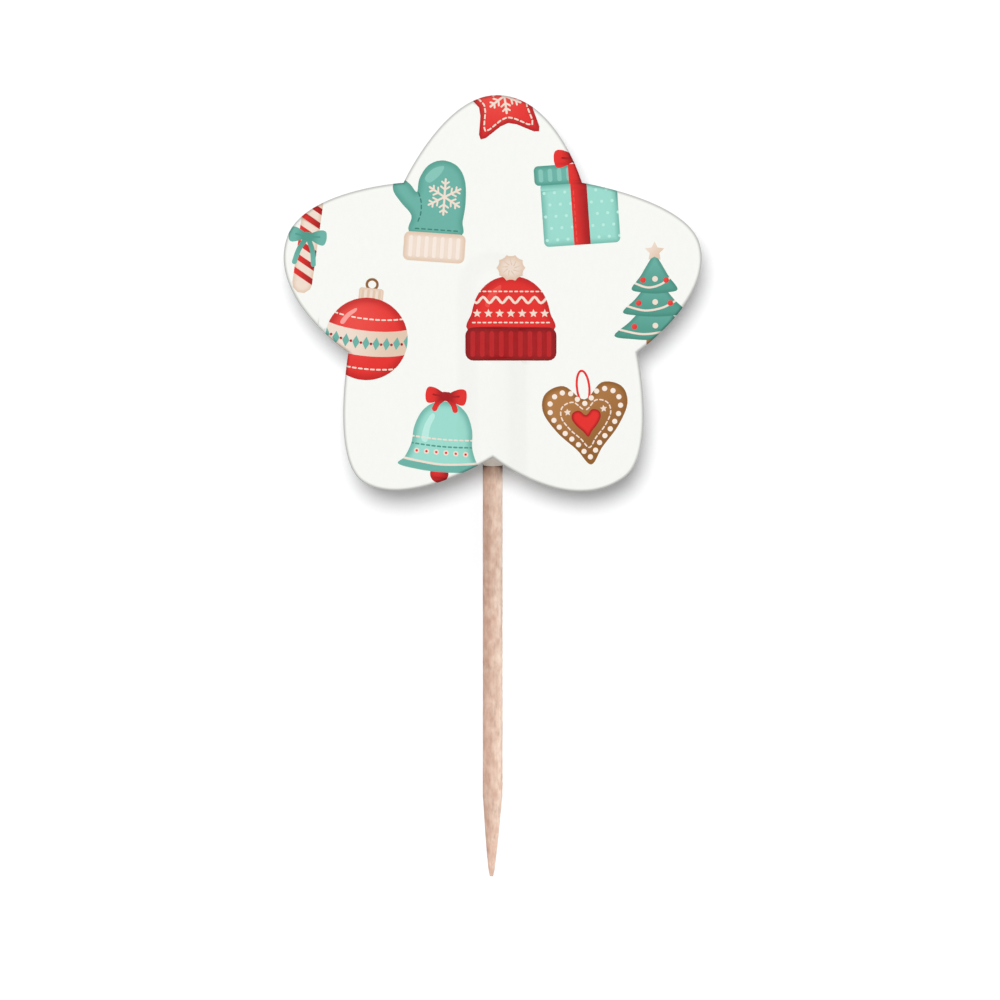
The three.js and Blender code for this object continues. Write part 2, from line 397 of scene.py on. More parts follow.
class Pen:
    """Draws on a print in a motif's own millimetres, moved, turned and sized onto the card."""

    def __init__(self, sheet, at, turn=0, size=1):
        self.sheet = sheet
        self.at = np.array(at, float)
        self.size = size
        c, s = math.cos(math.radians(turn)), math.sin(math.radians(turn))
        self.axes = np.array([[c, s], [-s, c]])

    def place(self, points):
        """Brings a motif's points to where they are on the card."""
        return points @ self.axes * self.size + self.at

    def fill(self, outline, paint, within=(), soft=0.0, rim=None, strength=1.0):
        """Fills an outline. A rim colour shades it inwards over the soft width."""
        outline = np.array(outline, float)
        if signed_area(outline) < 0:
            outline = outline[::-1]
        paint = flat(paint) if isinstance(paint, str) else paint
        if rim:
            paint = rimmed(paint, outline, soft, rim, strength)
            self.soften(outline, soft)
        limits = (within,) if isinstance(within, int) else within
        return self.sheet.add(
            self.place(outline), lambda p: paint((p - self.at) / self.size @ self.axes.T), limits)

    def soften(self, outline, width):
        """Adds points inside an outline, so that a rim shades evenly, but none too near another side."""
        for reach in width * np.array([0.25, 0.5, 0.75, 1.0]):
            ring = inset(outline, reach)
            keep = inside(ring, outline) & (distance_to(ring, outline) > 0.9 * reach)
            self.sheet.loose.extend(self.place(ring[keep]))

    def stroke(self, path, width, paint, within=(), taper=0.0):
        return self.fill(ribbon(path, width, taper), paint, within)

    def dashes(self, path, paint, width=0.13, dash=0.3, gap=0.28, within=()):
        """Stitches along a line."""
        path = np.array(path, float)
        along = lengths_along(path)
        count = max(1, int(along[-1] / (dash + gap)))
        step = along[-1] / count
        for i in range(count):
            wanted = np.linspace(i * step + gap / 2, (i + 1) * step - gap / 2, 3)
            self.stroke(look_up(path, along, wanted), width, paint, within)

    def bow(self, x, y, span, colour, knot, tails=0.0):
        """A bow with two loops, a knot and, if they have a length, two tails."""
        centre = np.array([x, y])
        for side in (-1, 1):
            scale = np.array([side * span, span])
            if tails:
                drop = np.array([side * span, tails])
                tail = curve(centre + drop * [(0, 0), (0.35, -0.5), (0.5, -1)], 5, False)
                self.fill(ribbon(tail, 0.26 * span), fade((x, y), (x, y - tails), knot, colour))
            loop = [(0, 0), (0.5, 0.36), (0.9, 0.38), (1, 0), (0.88, -0.36), (0.48, -0.3)]
            shade = fade(centre + scale * (0.2, 0), centre + scale * (0.7, 0), knot, colour)
            self.fill(curve(centre + scale * loop, 5), shade)
            fold = curve(centre + scale * [(0.25, 0), (0.62, 0.05)], 3, False)
            self.stroke(fold, 0.09 * span, knot)
        half, height = 0.2 * span, 0.22 * span
        self.fill(rounded(x - half, y - height, x + half, y + height, 0.08 * span), knot)

    def ribs(self, x0, y0, x1, y1, count, light, within):
        """Soft upright ribs over a knitted band."""
        pitch = (x1 - x0) / count
        for i in range(count):
            x = x0 + (i + 0.5) * pitch
            self.fill(rounded(x - 0.24 * pitch, y0, x + 0.24 * pitch, y1, 0.22 * pitch, 4), light, within)

    def snowflake(self, x, y, radius, width=0.2):
        """Six arms with two pairs of twigs each."""
        centre = np.array([x, y])
        for angle in np.radians(np.arange(90, 450, 60)):
            along = radius * np.array([math.cos(angle), math.sin(angle)])
            self.stroke(np.linspace(centre, centre + along, 3), width, CREAM)
            for reach, length in ((0.42, 0.3), (0.72, 0.24)):
                for bend in np.radians((-55, 55)):
                    base = centre + along * reach
                    twig = radius * length * np.array([math.cos(angle + bend), math.sin(angle + bend)])
                    self.stroke(np.linspace(base, base + twig, 3), 0.85 * width, CREAM)


# Motifs, each about 9 mm high about its own middle

def draw_mitten(pen):
    body = curve([
        (-2.1, -2.2), (-2.2, -0.6), (-3.2, 0.5), (-4.0, 1.5), (-4.05, 2.35), (-3.3, 2.75), (-2.5, 2.3),
        (-1.85, 1.65), (-1.7, 2.9), (-0.95, 4.2), (0.35, 4.75), (1.75, 4.3), (2.55, 3.0), (2.75, 1.0),
        (2.6, -0.8), (2.35, -2.2),
    ])
    hand = pen.fill(body, TEAL, soft=0.7, rim=DARK_TEAL, strength=0.75)
    pen.fill(curve([(-1.2, 3.0), (-0.5, 3.9), (0.5, 4.2), (0.2, 3.4), (-0.7, 2.6)]), LIGHT_TEAL, hand)
    pen.dashes(curve([(-1.75, 1.7), (-1.4, 0.8), (-1.35, -0.3), (-1.6, -1.2)], 6, False), DEEP_TEAL)
    pen.dashes([(-1.9, -1.75), (2.3, -1.75)], DEEP_TEAL)
    pen.snowflake(0.75, 1.35, 1.65)
    cuff = pen.fill(rounded(-2.75, -4.75, 3.0, -2.05, 0.55), CREAM, soft=0.6, rim=DARK_CREAM)
    pen.ribs(-2.45, -4.4, 2.7, -2.4, 7, LIGHT_CREAM, cuff)


def draw_tree(pen):
    pen.fill(rounded(-0.75, -4.8, 0.75, -3.0, 0.2), fade((-0.7, 0), (0.7, 0), BROWN, DARK_BROWN))
    for base, half, height in ((-3.5, 3.75, 3.6), (-1.3, 2.95, 3.3), (0.85, 2.15, 3.3)):
        top = base + height
        skirt = mirrored([
            (0, base - 0.42), (0.55 * half, base - 0.32), (half, base),
            (0.62 * half, base + 0.36 * height), (0.22 * half, base + 0.8 * height), (0, top),
        ])
        needles = fade((0, top), (0, base - 0.4), TEAL, DARK_TEAL)
        tier = pen.fill(curve(skirt, 5), needles, soft=0.45, rim=DEEP_TEAL, strength=0.55)
        garland = [
            (-0.86 * half, base + 0.55), (-0.3 * half, base + 0.15),
            (0.25 * half, base + 0.42), (0.66 * half, base + 1.05),
        ]
        pen.stroke(curve(garland, 7, False), 0.2, CREAM, tier)
        for share, colour in ((-0.5, RED), (0.02, CREAM), (0.5, RED)):
            x, y = share * half, base + 0.95 - 0.2 * abs(share)
            paint = glow((x - 0.1, y + 0.1), 0.4, LIGHT_RED, RED) if colour == RED else colour
            pen.fill(ellipse(x, y, 0.27, steps=14), paint, tier)
    pen.fill(pointed_star(0, 4.35, 0.95, 0.5), fade((-0.6, 5), (0.6, 3.8), CREAM, DARK_CREAM))


def draw_gift(pen):
    body = pen.fill(rounded(-3.5, -4.6, 3.5, 1.3, 0.45), MINT, soft=0.6, rim=TEAL, strength=0.8)
    for row in range(5):
        for column in range(8):
            x = -3.2 + column * 0.95 + (row % 2) * 0.47
            pen.fill(ellipse(x, -4.0 + row * 1.08, 0.15, steps=8), LIGHT_MINT, body)
    pen.fill(rounded(-3.5, 0.55, 3.5, 1.4, 0.1), fade((0, 0.5), (0, 1.2), MINT, TEAL), body)
    pen.fill(rounded(-0.75, -4.6, 0.75, 1.3, 0.05), fade((-0.7, 0), (0.7, 0), RED, DARK_RED), body)
    pen.dashes([(-0.5, -4.4), (-0.5, 0.5)], LIGHT_RED, 0.1, within=body)
    lid = pen.fill(rounded(-4.0, 1.05, 4.0, 2.85, 0.4), TEAL, soft=0.5, rim=DARK_TEAL)
    pen.ribs(-3.8, 1.35, 3.8, 2.55, 9, LIGHT_TEAL, lid)
    pen.fill(rounded(-0.85, 1.05, 0.85, 2.85, 0.05), fade((-0.8, 0), (0.8, 0), RED, DARK_RED), lid)
    pen.bow(0, 3.35, 2.1, RED, DARK_RED)


def draw_hat(pen):
    dome = mirrored([(0, 3.6), (1.7, 3.2), (3.0, 2.0), (3.65, 0.2), (3.6, -1.6)])
    crown = pen.fill(curve(dome), RED, soft=0.9, rim=DARK_RED, strength=0.55)
    shine = [(-2.4, 0.9), (-2.0, 2.0), (-1.0, 2.75), (-1.0, 2.2), (-1.75, 1.5), (-2.05, 0.7)]
    pen.fill(curve(shine), LIGHT_RED, crown)
    wave = [(x, 1.35 + 0.28 * (-1) ** i) for i, x in enumerate(np.arange(-3.8, 3.9, 0.6))]
    pen.stroke(curve(wave, 4, False), 0.24, CREAM, crown)
    for y in (2.15, -0.75):
        pen.dashes([(-3.7, y), (3.7, y)], CREAM, 0.13, 0.22, 0.26, crown)
    for i in range(7):
        pen.fill(pointed_star(-3.15 + i * 1.05, 0.1, 0.42), CREAM, crown)
    brim = pen.fill(rounded(-4.25, -4.3, 4.25, -1.2, 0.75), DARK_RED, soft=0.7, rim=DEEP_RED)
    pen.ribs(-4.0, -3.95, 4.0, -1.55, 9, RIB_RED, brim)
    draw_pompom(pen, 4.35)


def draw_pompom(pen, y):
    """A fluffy ball with nine strands that start near its middle."""
    angles = np.radians(np.arange(0, 360, 12))
    fluff = 1.25 + 0.1 * np.cos(10 * angles)
    ball = pen.fill(around(0, y, fluff, 0.92 * fluff, angles), CREAM, soft=0.6, rim=DARK_CREAM)
    strands = np.radians(np.arange(0, 360, 40))
    starts = around(0, y, 0.35, 0.32, strands)
    ends = around(0, y, 0.85, 0.78, strands + 0.25)
    for start, end in zip(starts, ends):
        pen.stroke(np.linspace(start, end, 3), 0.1, DARK_CREAM, ball, 0.5)


def draw_bauble(pen):
    pen.fill(ellipse(0, 4.35, 0.62, 0.6, steps=20), DARK_BROWN)
    pen.fill(ellipse(0, 4.35, 0.38, 0.36, steps=16), PAPER)
    cap = pen.fill(rounded(-1.15, 2.75, 1.15, 4.0, 0.25), CREAM, soft=0.35, rim=DARK_CREAM)
    pen.ribs(-1.05, 2.9, 1.05, 3.85, 4, DARK_CREAM, cap)
    sheen = glow((-1.3, 0.8), 5.2, LIGHT_RED, RED)
    ball = pen.fill(ellipse(0, -0.75, 3.85, steps=64), sheen, soft=0.9, rim=DARK_RED, strength=0.6)

    half, drop = 4.6, 1.2

    def sag(x):
        """The band and the stitches sag like the lower half of a flat ellipse."""
        return drop * math.sqrt(1 - (x / half) ** 2)

    upper = ellipse(0, 1.2, half, drop, 24, 180, 360)
    lower = ellipse(0, -1.15, half, drop, 24, 360, 180)
    cloth = fade((-2.5, 0), (3.5, -0.5), CREAM, DARK_CREAM)
    band = pen.fill(np.concatenate([upper, lower]), cloth, ball)
    for i in range(9):
        x = -3.8 + 0.95 * i
        y = 0.05 - sag(x)
        diamond = [(x, y - 0.62), (x + 0.34, y), (x, y + 0.62), (x - 0.34, y)]
        pen.fill(diamond, TEAL, (ball, band))
        pen.fill(ellipse(x + 0.475, y - 0.02, 0.13, steps=10), DARK_RED, (ball, band))
    for height in (2.3, -2.35):
        line = [(x, height - sag(x)) for x in np.linspace(-3.9, 3.9, 40)]
        pen.dashes(line, CREAM, 0.15, 0.28, 0.26, ball)
    shine = [(-2.6, 0.6), (-2.1, 1.4), (-1.3, 2.0), (-1.2, 1.75), (-1.8, 1.15), (-2.25, 0.45)]
    pen.fill(curve(shine), PALE_RED, ball)


def draw_bell(pen):
    pen.fill(ellipse(0, -3.6, 0.85, steps=24), glow((-0.25, -3.4), 1.1, RED, DARK_RED))
    body = mirrored([
        (0.8, 2.95), (2.0, 2.1), (2.65, 0.6), (2.8, -1.0), (3.3, -2.3), (3.85, -3.0), (2.0, -3.35),
        (0, -3.45),
    ])
    shell = pen.fill(curve(body), MINT, soft=0.75, rim=TEAL, strength=0.9)
    shine = [(-1.9, -0.6), (-1.75, 0.7), (-1.2, 1.8), (-0.85, 1.6), (-1.2, 0.6), (-1.35, -0.7)]
    pen.fill(curve(shine), LIGHT_MINT, shell)
    pen.fill([(-4, -3.1), (-4, -2.55), (0, -2.85), (4, -2.55), (4, -3.1), (4, -4), (-4, -4)], TEAL, shell)
    pen.stroke(curve([(-3.7, -2.35), (0, -2.75), (3.7, -2.35)], 8, False), 0.2, CREAM, shell)
    for level, colour in ((-0.95, DARK_TEAL), (-0.3, CREAM)):
        line = [(x, level - 0.16 * math.cos(x * 0.5)) for x in np.linspace(-3, 3, 24)]
        pen.dashes(line, colour, 0.15, 0.26, 0.24, shell)
    for i in range(6):
        x = -2.25 + 0.9 * i
        pen.fill(ellipse(x, -1.65, 0.25, steps=12), CREAM, shell)
        pen.fill(ellipse(x, -1.65, 0.12, steps=8), RED, shell)
    pen.bow(0, 3.5, 1.9, RED, DARK_RED, 1.2)


def draw_cane(pen):
    shank = [(1.6, y) for y in np.linspace(-4.8, 2.0, 16)]
    hook = np.concatenate([shank, ellipse(-0.5, 2.2, 2.1, 2.2, 20, 4, 185)])
    cane = pen.fill(ribbon(hook, 1.75), CREAM, soft=0.4, rim=DARK_CREAM)
    along = lengths_along(hook)
    direction = unit(np.gradient(hook, axis=0))
    for place in np.arange(0.4, along[-1] + 1, 1.25):
        centre = look_up(hook, along, place)
        ahead = look_up(direction, along, place)
        left = np.array([-ahead[1], ahead[0]])
        stripe = [
            centre + 1.1 * left + 0.55 * ahead, centre + 1.1 * left + 1.1 * ahead,
            centre - 1.1 * left, centre - 1.1 * left - 0.55 * ahead,
        ]
        pen.fill(stripe, fade(centre + left, centre - left, RED, DARK_RED), cane)
    pen.bow(1.5, -0.6, 1.7, TEAL, DARK_TEAL, 2.4)


def draw_cookie(pen):
    pen.stroke(ellipse(0, 3.0, 0.6, 1.6, 24, -80, 260), 0.22, RED)
    crust = fade((-2, 3), (2, -4), BROWN, DARK_BROWN)
    base = pen.fill(heart(4.1, 3.9, -0.6), crust, soft=0.7, rim=DARK_BROWN)
    for x, y in even_spacing(looped(heart(3.4, 3.2, -0.55)), 26)[:-1]:
        pen.fill(ellipse(x, y, 0.26, steps=12), LIGHT_CREAM, base)
    pen.dashes(heart(2.4, 2.25, -0.6), CREAM, 0.14, 0.3, 0.25, base)
    pen.fill(heart(1.4, 1.3, -0.5), RED, soft=0.35, rim=DARK_RED)
    for x in (-1.75, 1.75):
        pen.fill(pointed_star(x, 0.75, 0.36, 0.5), CREAM, base)


def draw_ornament(pen):
    pen.stroke([(0, 3.2), (0.1, 4.0), (0, 4.8)], 0.2, DARK_BROWN)
    body = curve(pointed_star(0, -0.4, 4.6, 0.56), 4)
    felt = pen.fill(body, glow((-0.8, 0.6), 5, LIGHT_RED, RED), soft=0.7, rim=DARK_RED, strength=0.8)
    pen.dashes(looped(curve(pointed_star(0, -0.4, 3.7, 0.55), 4)), CREAM, 0.15, 0.3, 0.26, felt)
    pen.snowflake(0, -0.45, 1.6)


# Layout of the print: a slanted repeat, cut off by the card's edge
PRINT_SHIFT = np.array([2.0, -1.0])
STEP_UP_LEFT = np.array([-8.3, 11.4])
STEP_UP_RIGHT = np.array([7.5, 13.2])
# Motif, turn in degrees and size at each step up left and up right
LAYOUT = {
    (0, 0): (draw_hat, 0, 1.18),
    (1, 0): (draw_mitten, -4, 1.18),
    (0, 1): (draw_gift, 4, 1.2),
    (-1, 1): (draw_tree, 0, 1.18),
    (-1, 0): (draw_cookie, 6, 1.14),
    (0, -1): (draw_bell, -5, 1.2),
    (1, -1): (draw_bauble, -6, 1.18),
    (2, -1): (draw_cane, -8, 1.24),
    (1, 1): (draw_ornament, 8, 1.2),
}


def draw_print(outline):
    """The printed face: bare card with the motifs on it."""
    sheet = Print()
    sheet.add(outline, flat(PAPER))
    for (left, right), (draw, turn, size) in LAYOUT.items():
        draw(Pen(sheet, PRINT_SHIFT + left * STEP_UP_LEFT + right * STEP_UP_RIGHT, turn, size))
    return sheet


# Sheet surfaces, worked out from print coordinates, which are about the star's centre

def distance_from_stick(points):
    """How far points are from the stick's middle line, which stops at its upper end."""
    past_end = np.maximum(0, points[..., 1] + STAR_CENTRE_HEIGHT - STICK_LENGTH)
    return np.hypot(points[..., 0], past_end)


def card_rise(points):
    """The stiff card's gentle ridge over the stick."""
    across = np.minimum(1, distance_from_stick(points) / POCKET_HALF_WIDTH)
    return CARD_RISE * (1 + np.cos(math.pi * across)) / 2


def painted_pocket_shade(points):
    """Painted shade: the card a trace darker over the flanks of the stick's pocket."""
    across = distance_from_stick(points) / POCKET_HALF_WIDTH
    inner = smooth((across - 0.32) / 0.25)
    outer = smooth((1.06 - across) / 0.15)
    return 1 - POCKET_PAINTED_SHADE * (0.2 + 0.8 * inner) * outer


def backing_front(points):
    """The backing sheet's inner surface, with the crease at the pocket's foot rounded."""
    distance = distance_from_stick(points)
    flank = math.hypot(POCKET_HALF_WIDTH, FILM_BACK)
    tangent = math.atan2(FILM_BACK, POCKET_HALF_WIDTH) + math.acos(BORE_RADIUS / flank)
    top_x, top_y = BORE_RADIUS * math.cos(tangent), BORE_RADIUS * math.sin(tangent)
    slope = (FILM_BACK - top_y) / (POCKET_HALF_WIDTH - top_x)
    straight = FILM_BACK + (distance - POCKET_HALF_WIDTH) * slope
    over_stick = np.sqrt(np.maximum(0, BORE_RADIUS ** 2 - np.minimum(distance, top_x) ** 2))
    rise = np.where(distance < top_x, over_stick, straight) - FILM_BACK
    softened = (rise + np.sqrt(rise ** 2 + CREASE_ROUNDING ** 2)) / 2
    return FILM_BACK + np.minimum(softened, BORE_RADIUS - FILM_BACK)


def backing_back(points):
    return backing_front(points) + BACKING_THICKNESS


def card_back(points):
    return CARD_BACK - card_rise(points)


def stick_front(points):
    """The round stick's nearest surface, carried on level beside it."""
    across = np.minimum(np.abs(points[:, 0]), 0.99 * STICK_RADIUS)
    return -np.sqrt(STICK_RADIUS ** 2 - across ** 2)


def bead_back(points):
    """The glue bead's hidden side, a little inside the stick."""
    return np.maximum(stick_front(points) + BEAD_ROOT, BEAD_MIDDLE_ROOT - STICK_RADIUS)


# Meshes

def to_world(points, depth):
    """Places print coordinates at a depth in the frame."""
    return np.stack([points[:, 0], depth, points[:, 1] + STAR_CENTRE_HEIGHT], axis=1) * MM


def triangulate(outlines, loose):
    """Cuts the first outline's inside along the others, with loose points added.

    Gives the points, the triangles, and for each triangle the numbers of the outlines round it.
    """
    corners, faces = [], []
    for outline in outlines:
        faces.append(list(range(len(corners), len(corners) + len(outline))))
        corners.extend(Vector(p) for p in outline)
    corners.extend(Vector(p) for p in loose)
    made = delaunay_2d_cdt(corners, [], faces, 0, 1e-5, True)
    points, triangles, covers = np.array(made[0]), made[2], made[5]
    kept = [i for i, cover in enumerate(covers) if 0 in cover]
    used, numbers = np.unique([triangles[i] for i in kept], return_inverse=True)
    return points[used], numbers.reshape(-1, 3), [set(covers[i]) for i in kept]


def boundary_loop(triangles):
    """The outer edge of a triangulated sheet, in order."""
    edges = {(a, b) for t in triangles.tolist() for a, b in zip(t, t[1:] + t[:1])}
    following = {a: b for a, b in edges if (b, a) not in edges}
    loop = [next(iter(following))]
    while following[loop[-1]] != loop[0]:
        loop.append(following[loop[-1]])
    return loop


def closed_sheet(front_points, front_triangles, front_depth, back_depth, back_grid):
    """A solid from a front plan and its points' depths: the same outline closes it at the back."""
    loop = boundary_loop(front_triangles)
    rim = front_points[loop]
    back_points, back_triangles, _ = triangulate([rim], back_grid)
    back_loop = boundary_loop(back_triangles)
    start = int(np.argmin(np.linalg.norm(back_points[back_loop] - rim[0], axis=1)))
    back_loop = back_loop[start:] + back_loop[:start]
    if len(back_loop) != len(loop):
        raise ValueError("the sheet's front and back outlines differ")
    count = len(front_points)
    vertices = np.concatenate([
        to_world(front_points, front_depth),
        to_world(back_points, back_depth(back_points)),
    ])
    faces = front_triangles.tolist()
    faces += [[a + count, c + count, b + count] for a, b, c in back_triangles.tolist()]
    for i, a in enumerate(loop):
        b = loop[(i + 1) % len(loop)]
        c = back_loop[(i + 1) % len(loop)] + count
        faces.append([a, back_loop[i] + count, c, b])
    return vertices, faces


def new_object(name, vertices, faces, material, smooth_angle=30):
    """An object with one material, shaded smooth but for edges sharper than the angle."""
    mesh = bpy.data.meshes.new(name)
    mesh.from_pydata([tuple(v) for v in vertices], [], [list(f) for f in faces])
    mesh.materials.append(material)
    mesh.polygons.foreach_set("use_smooth", [True] * len(mesh.polygons))
    mesh.set_sharp_from_angle(angle=math.radians(smooth_angle))
    thing = bpy.data.objects.new(name, mesh)
    bpy.context.scene.collection.objects.link(thing)
    return thing


# Materials

def new_material(name):
    """A material, its node tree and its shader."""
    material = bpy.data.materials.new(name)
    material.use_nodes = True
    tree = material.node_tree
    return material, tree, tree.nodes["Principled BSDF"]


def feed(tree, socket, value):
    """Links a socket to the value where that is a socket too, or else writes the value on it."""
    if isinstance(value, bpy.types.NodeSocket):
        tree.links.new(value, socket)
    else:
        socket.default_value = value


def node(tree, kind, *values, **named):
    """A node. The values feed its first sockets, and each name is a socket or a setting."""
    made = tree.nodes.new(kind)
    for key, value in named.items():
        name = key.replace("_", " ")
        if name in made.inputs:
            feed(tree, made.inputs[name], value)
        else:
            setattr(made, key, value)
    for socket, value in zip(made.inputs, values):
        feed(tree, socket, value)
    return made


def calculate(tree, operation, a, b):
    return node(tree, "ShaderNodeMath", a, b, operation=operation).outputs[0]


def noise(tree, scale, stretch=(1, 1, 1), detail=4.0, roughness=0.55, offset=(0, 0, 0)):
    """Noise over the object's own metres, scale cells to the metre, stretched along an axis."""
    place = node(tree, "ShaderNodeTexCoord").outputs["Object"]
    mapping = node(tree, "ShaderNodeMapping", Vector=place, Location=offset, Scale=stretch)
    texture = node(tree, "ShaderNodeTexNoise", Vector=mapping.outputs[0], Scale=scale, Detail=detail,
                   Roughness=roughness)
    return texture.outputs["Fac"]


def remap(tree, value, low, high, to_low, to_high):
    return node(tree, "ShaderNodeMapRange", value, low, high, to_low, to_high).outputs[0]


def spread(tree, texture, to_low, to_high, low=0.3, high=0.7):
    """Brings noise, which seldom leaves the middle of its range, to the given one."""
    return remap(tree, texture, low, high, to_low, to_high)


def blend(tree, value, low, low_colour, high, high_colour):
    """One sRGB colour up to a low value and another from a high one, with a ramp between."""
    made = node(tree, "ShaderNodeValToRGB", value)
    first, last = made.color_ramp.elements
    first.position = low
    first.color = rgba(low_colour)
    last.position = high
    last.color = rgba(high_colour)
    return made.outputs[0]


def multiply(tree, a, b):
    made = node(tree, "ShaderNodeMix", data_type="RGBA", blend_type="MULTIPLY", Factor=1)
    colours = [s for s in made.inputs if s.type == "RGBA"]
    feed(tree, colours[0], a)
    feed(tree, colours[1], b)
    return next(s for s in made.outputs if s.type == "RGBA")


def set_surface(tree, shader, colour, roughness, specular, relief, depth):
    """Feeds the shader, with a relief whose full height is the depth in millimetres."""
    raised = node(tree, "ShaderNodeBump", Height=relief, Distance=depth * MM, Strength=1.0)
    feed(tree, shader.inputs["Base Color"], colour)
    feed(tree, shader.inputs["Roughness"], roughness)
    feed(tree, shader.inputs["Specular IOR Level"], specular)
    feed(tree, shader.inputs["Normal"], raised.outputs[0])


def paper_material(name, colour=None, roughness=0.6, grain=0.008, depth=0.004):
    """Smooth card or paper: fibre flecks, cloudiness and a fine tooth. Without a colour, the print's."""
    material, tree, shader = new_material(name)
    if colour:
        base = rgba(colour)
    else:
        base = node(tree, "ShaderNodeVertexColor", layer_name="print").outputs[0]
    fibre = noise(tree, 2600, (1, 1, 0.45), 3.0, 0.6)
    cloud = noise(tree, 240, (1, 1, 1), 3.0, 0.5, (0.3, 0.1, 0.2))
    flecks = spread(tree, fibre, -grain, grain)
    clouds = spread(tree, cloud, 1 - 0.5 * grain, 1 + 0.2 * grain)
    tone = calculate(tree, "ADD", flecks, clouds)
    rough = spread(tree, fibre, roughness - 0.06, roughness + 0.06, 0.25, 0.75)
    set_surface(tree, shader, multiply(tree, base, tone), rough, 0.15, fibre, depth)
    return material


def wood_material():
    """Pale birch: fine grain along the shank and soft mottling, with painted shade on its left side and a
    painted shadow of the card below the notch.
    """
    material, tree, shader = new_material("birch")
    grain = noise(tree, 5200, (1, 1, 0.035), 5.0, 0.65)
    streak = noise(tree, 1500, (1, 1, 0.06), 3.0, 0.5, (0.2, 0.4, 0.1))
    mottle = noise(tree, 1600, (1, 1, 0.56), 4.0, 0.5, (0.5, 0.1, 0.7))
    pores = noise(tree, 3600, (1, 1, 0.25), 2.0, 0.5, (0.9, 0.6, 0.3))
    place = node(tree, "ShaderNodeTexCoord").outputs["Object"]
    across, _, height = node(tree, "ShaderNodeSeparateXYZ", place).outputs
    rightward = remap(tree, across, -STICK_RADIUS * MM, STICK_RADIUS * MM, 0, 1)
    under_card_shadow = remap(tree, height, PAINTED_CARD_SHADOW_HEIGHTS[0] * MM, PAINTED_CARD_SHADOW_HEIGHTS[1] * MM, 0, 1)
    tones = [
        spread(tree, grain, 0.92, 1.06),
        spread(tree, streak, 0.94, 1.04),
        spread(tree, pores, 1.02, 0.89, 0.56, 0.7),
        remap(tree, height, PALER_SHANK[0] * MM, PALER_SHANK[1] * MM, 1.0, 1.14),
        remap(tree, height, PALER_POINT[0] * MM, PALER_POINT[1] * MM, 1.0, 1.12),
        # Painted shade: the stick's left side darker, its right side lit
        blend(tree, rightward, 0.3, BIRCH_PAINTED_SHADE, 0.85, WHITE),
        # Painted shadow of the card, darkest at the stick's top below the notch
        blend(tree, under_card_shadow, 0, WHITE, 1, BIRCH_PAINTED_SHADOW),
    ]
    colour = blend(tree, mottle, 0.31, DARK_BIRCH, 0.69, PALE_BIRCH)
    for tone in tones:
        colour = multiply(tree, colour, tone)
    set_surface(tree, shader, colour, spread(tree, grain, 0.55, 0.8), 0.25, grain, 0.02)
    return material


def glue_material(name, colour, roughness):
    """Dried clear adhesive: milky, uneven and a little glossy."""
    material, tree, shader = new_material(name)
    cloud = noise(tree, 900, (1, 1, 0.5), 3.0)
    milky = multiply(tree, rgba(colour), spread(tree, cloud, 0.9, 1.05))
    rough = spread(tree, cloud, roughness - 0.08, roughness + 0.12)
    set_surface(tree, shader, milky, rough, 0.5, cloud, 0.03)
    return material


# Pieces

def make_front_card(outline):
    """The card. Its mesh is cut along the print's shapes, and the corners of its faces hold the colours."""
    sheet = draw_print(outline)
    rings = [inset(outline, EDGE_WIDTH * ring / EDGE_RINGS) for ring in range(1, EDGE_RINGS + 1)]
    loose = np.concatenate([sheet.loose, *rings])
    loose = loose[inside(loose, inset(outline, EDGE_CLEARANCE))]
    grid = grid_inside(rings[-1], *PRINT_GRID)
    points, triangles, covers = triangulate(sheet.outlines, [*grid, *loose])
    to_edge = distance_to(points, outline) / EDGE_WIDTH

    top = np.zeros(len(triangles), int)
    for i, cover in enumerate(covers):
        top[i] = next(k for k in sorted(cover, reverse=True) if sheet.limits[k] <= cover)
    corners = points[triangles]
    colours = np.zeros((len(triangles), 3, 3))
    for shape in np.unique(top):
        chosen = top == shape
        colours[chosen] = sheet.paints[shape](corners[chosen].reshape(-1, 2)).reshape(-1, 3, 3)
    # Painted shade: a grey line darkens the print along the card's edge
    colours *= (EDGE_PAINTED_SHADE + (1 - EDGE_PAINTED_SHADE) * smooth(to_edge[triangles]))[..., None]
    # Painted shade over the flanks of the stick's pocket
    colours *= painted_pocket_shade(corners)[..., None]

    front = CARD_FRONT - card_rise(points) + EDGE_DROP * (1 - smooth(2 * to_edge)) ** 2
    pocket = grid_inside(rings[-1], *POCKET_GRID)
    pocket = pocket[np.abs(pocket[:, 0]) < POCKET_HALF_WIDTH + POCKET_GRID[0]]
    vertices, faces = closed_sheet(points, triangles, front, card_back, pocket)
    card = new_object("printed_card", vertices, faces, paper_material("printed_card"))
    layer = card.data.color_attributes.new("print", "FLOAT_COLOR", "CORNER")
    values = np.ones((len(card.data.loops), 4))
    values[:, :3] = linear(CARD_CORE)
    # The front's triangles come first in the mesh
    values[:len(triangles) * 3, :3] = colours.reshape(-1, 3)
    layer.data.foreach_set("color", values.ravel())
    return card


def make_backing_sheet(outline):
    """The sheet behind, with its pocket over the stick."""
    grid = grid_inside(inset(outline, BACKING_RIM), *BACKING_GRID)
    points, triangles, _ = triangulate([outline], grid)
    vertices, faces = closed_sheet(points, triangles, backing_front(points), backing_back, grid)
    paper = paper_material("back_paper", BACK_PAPER, roughness=0.75, grain=0.03, depth=0.008)
    return new_object("back_paper", vertices, faces, paper, smooth_angle=50)


def ripple(wave, phase, angles, height):
    """How far a ripple lifts the stick's surface round one ring."""
    rise, waves_round, drift = wave
    return rise * np.sin(waves_round * angles + phase + drift * height)


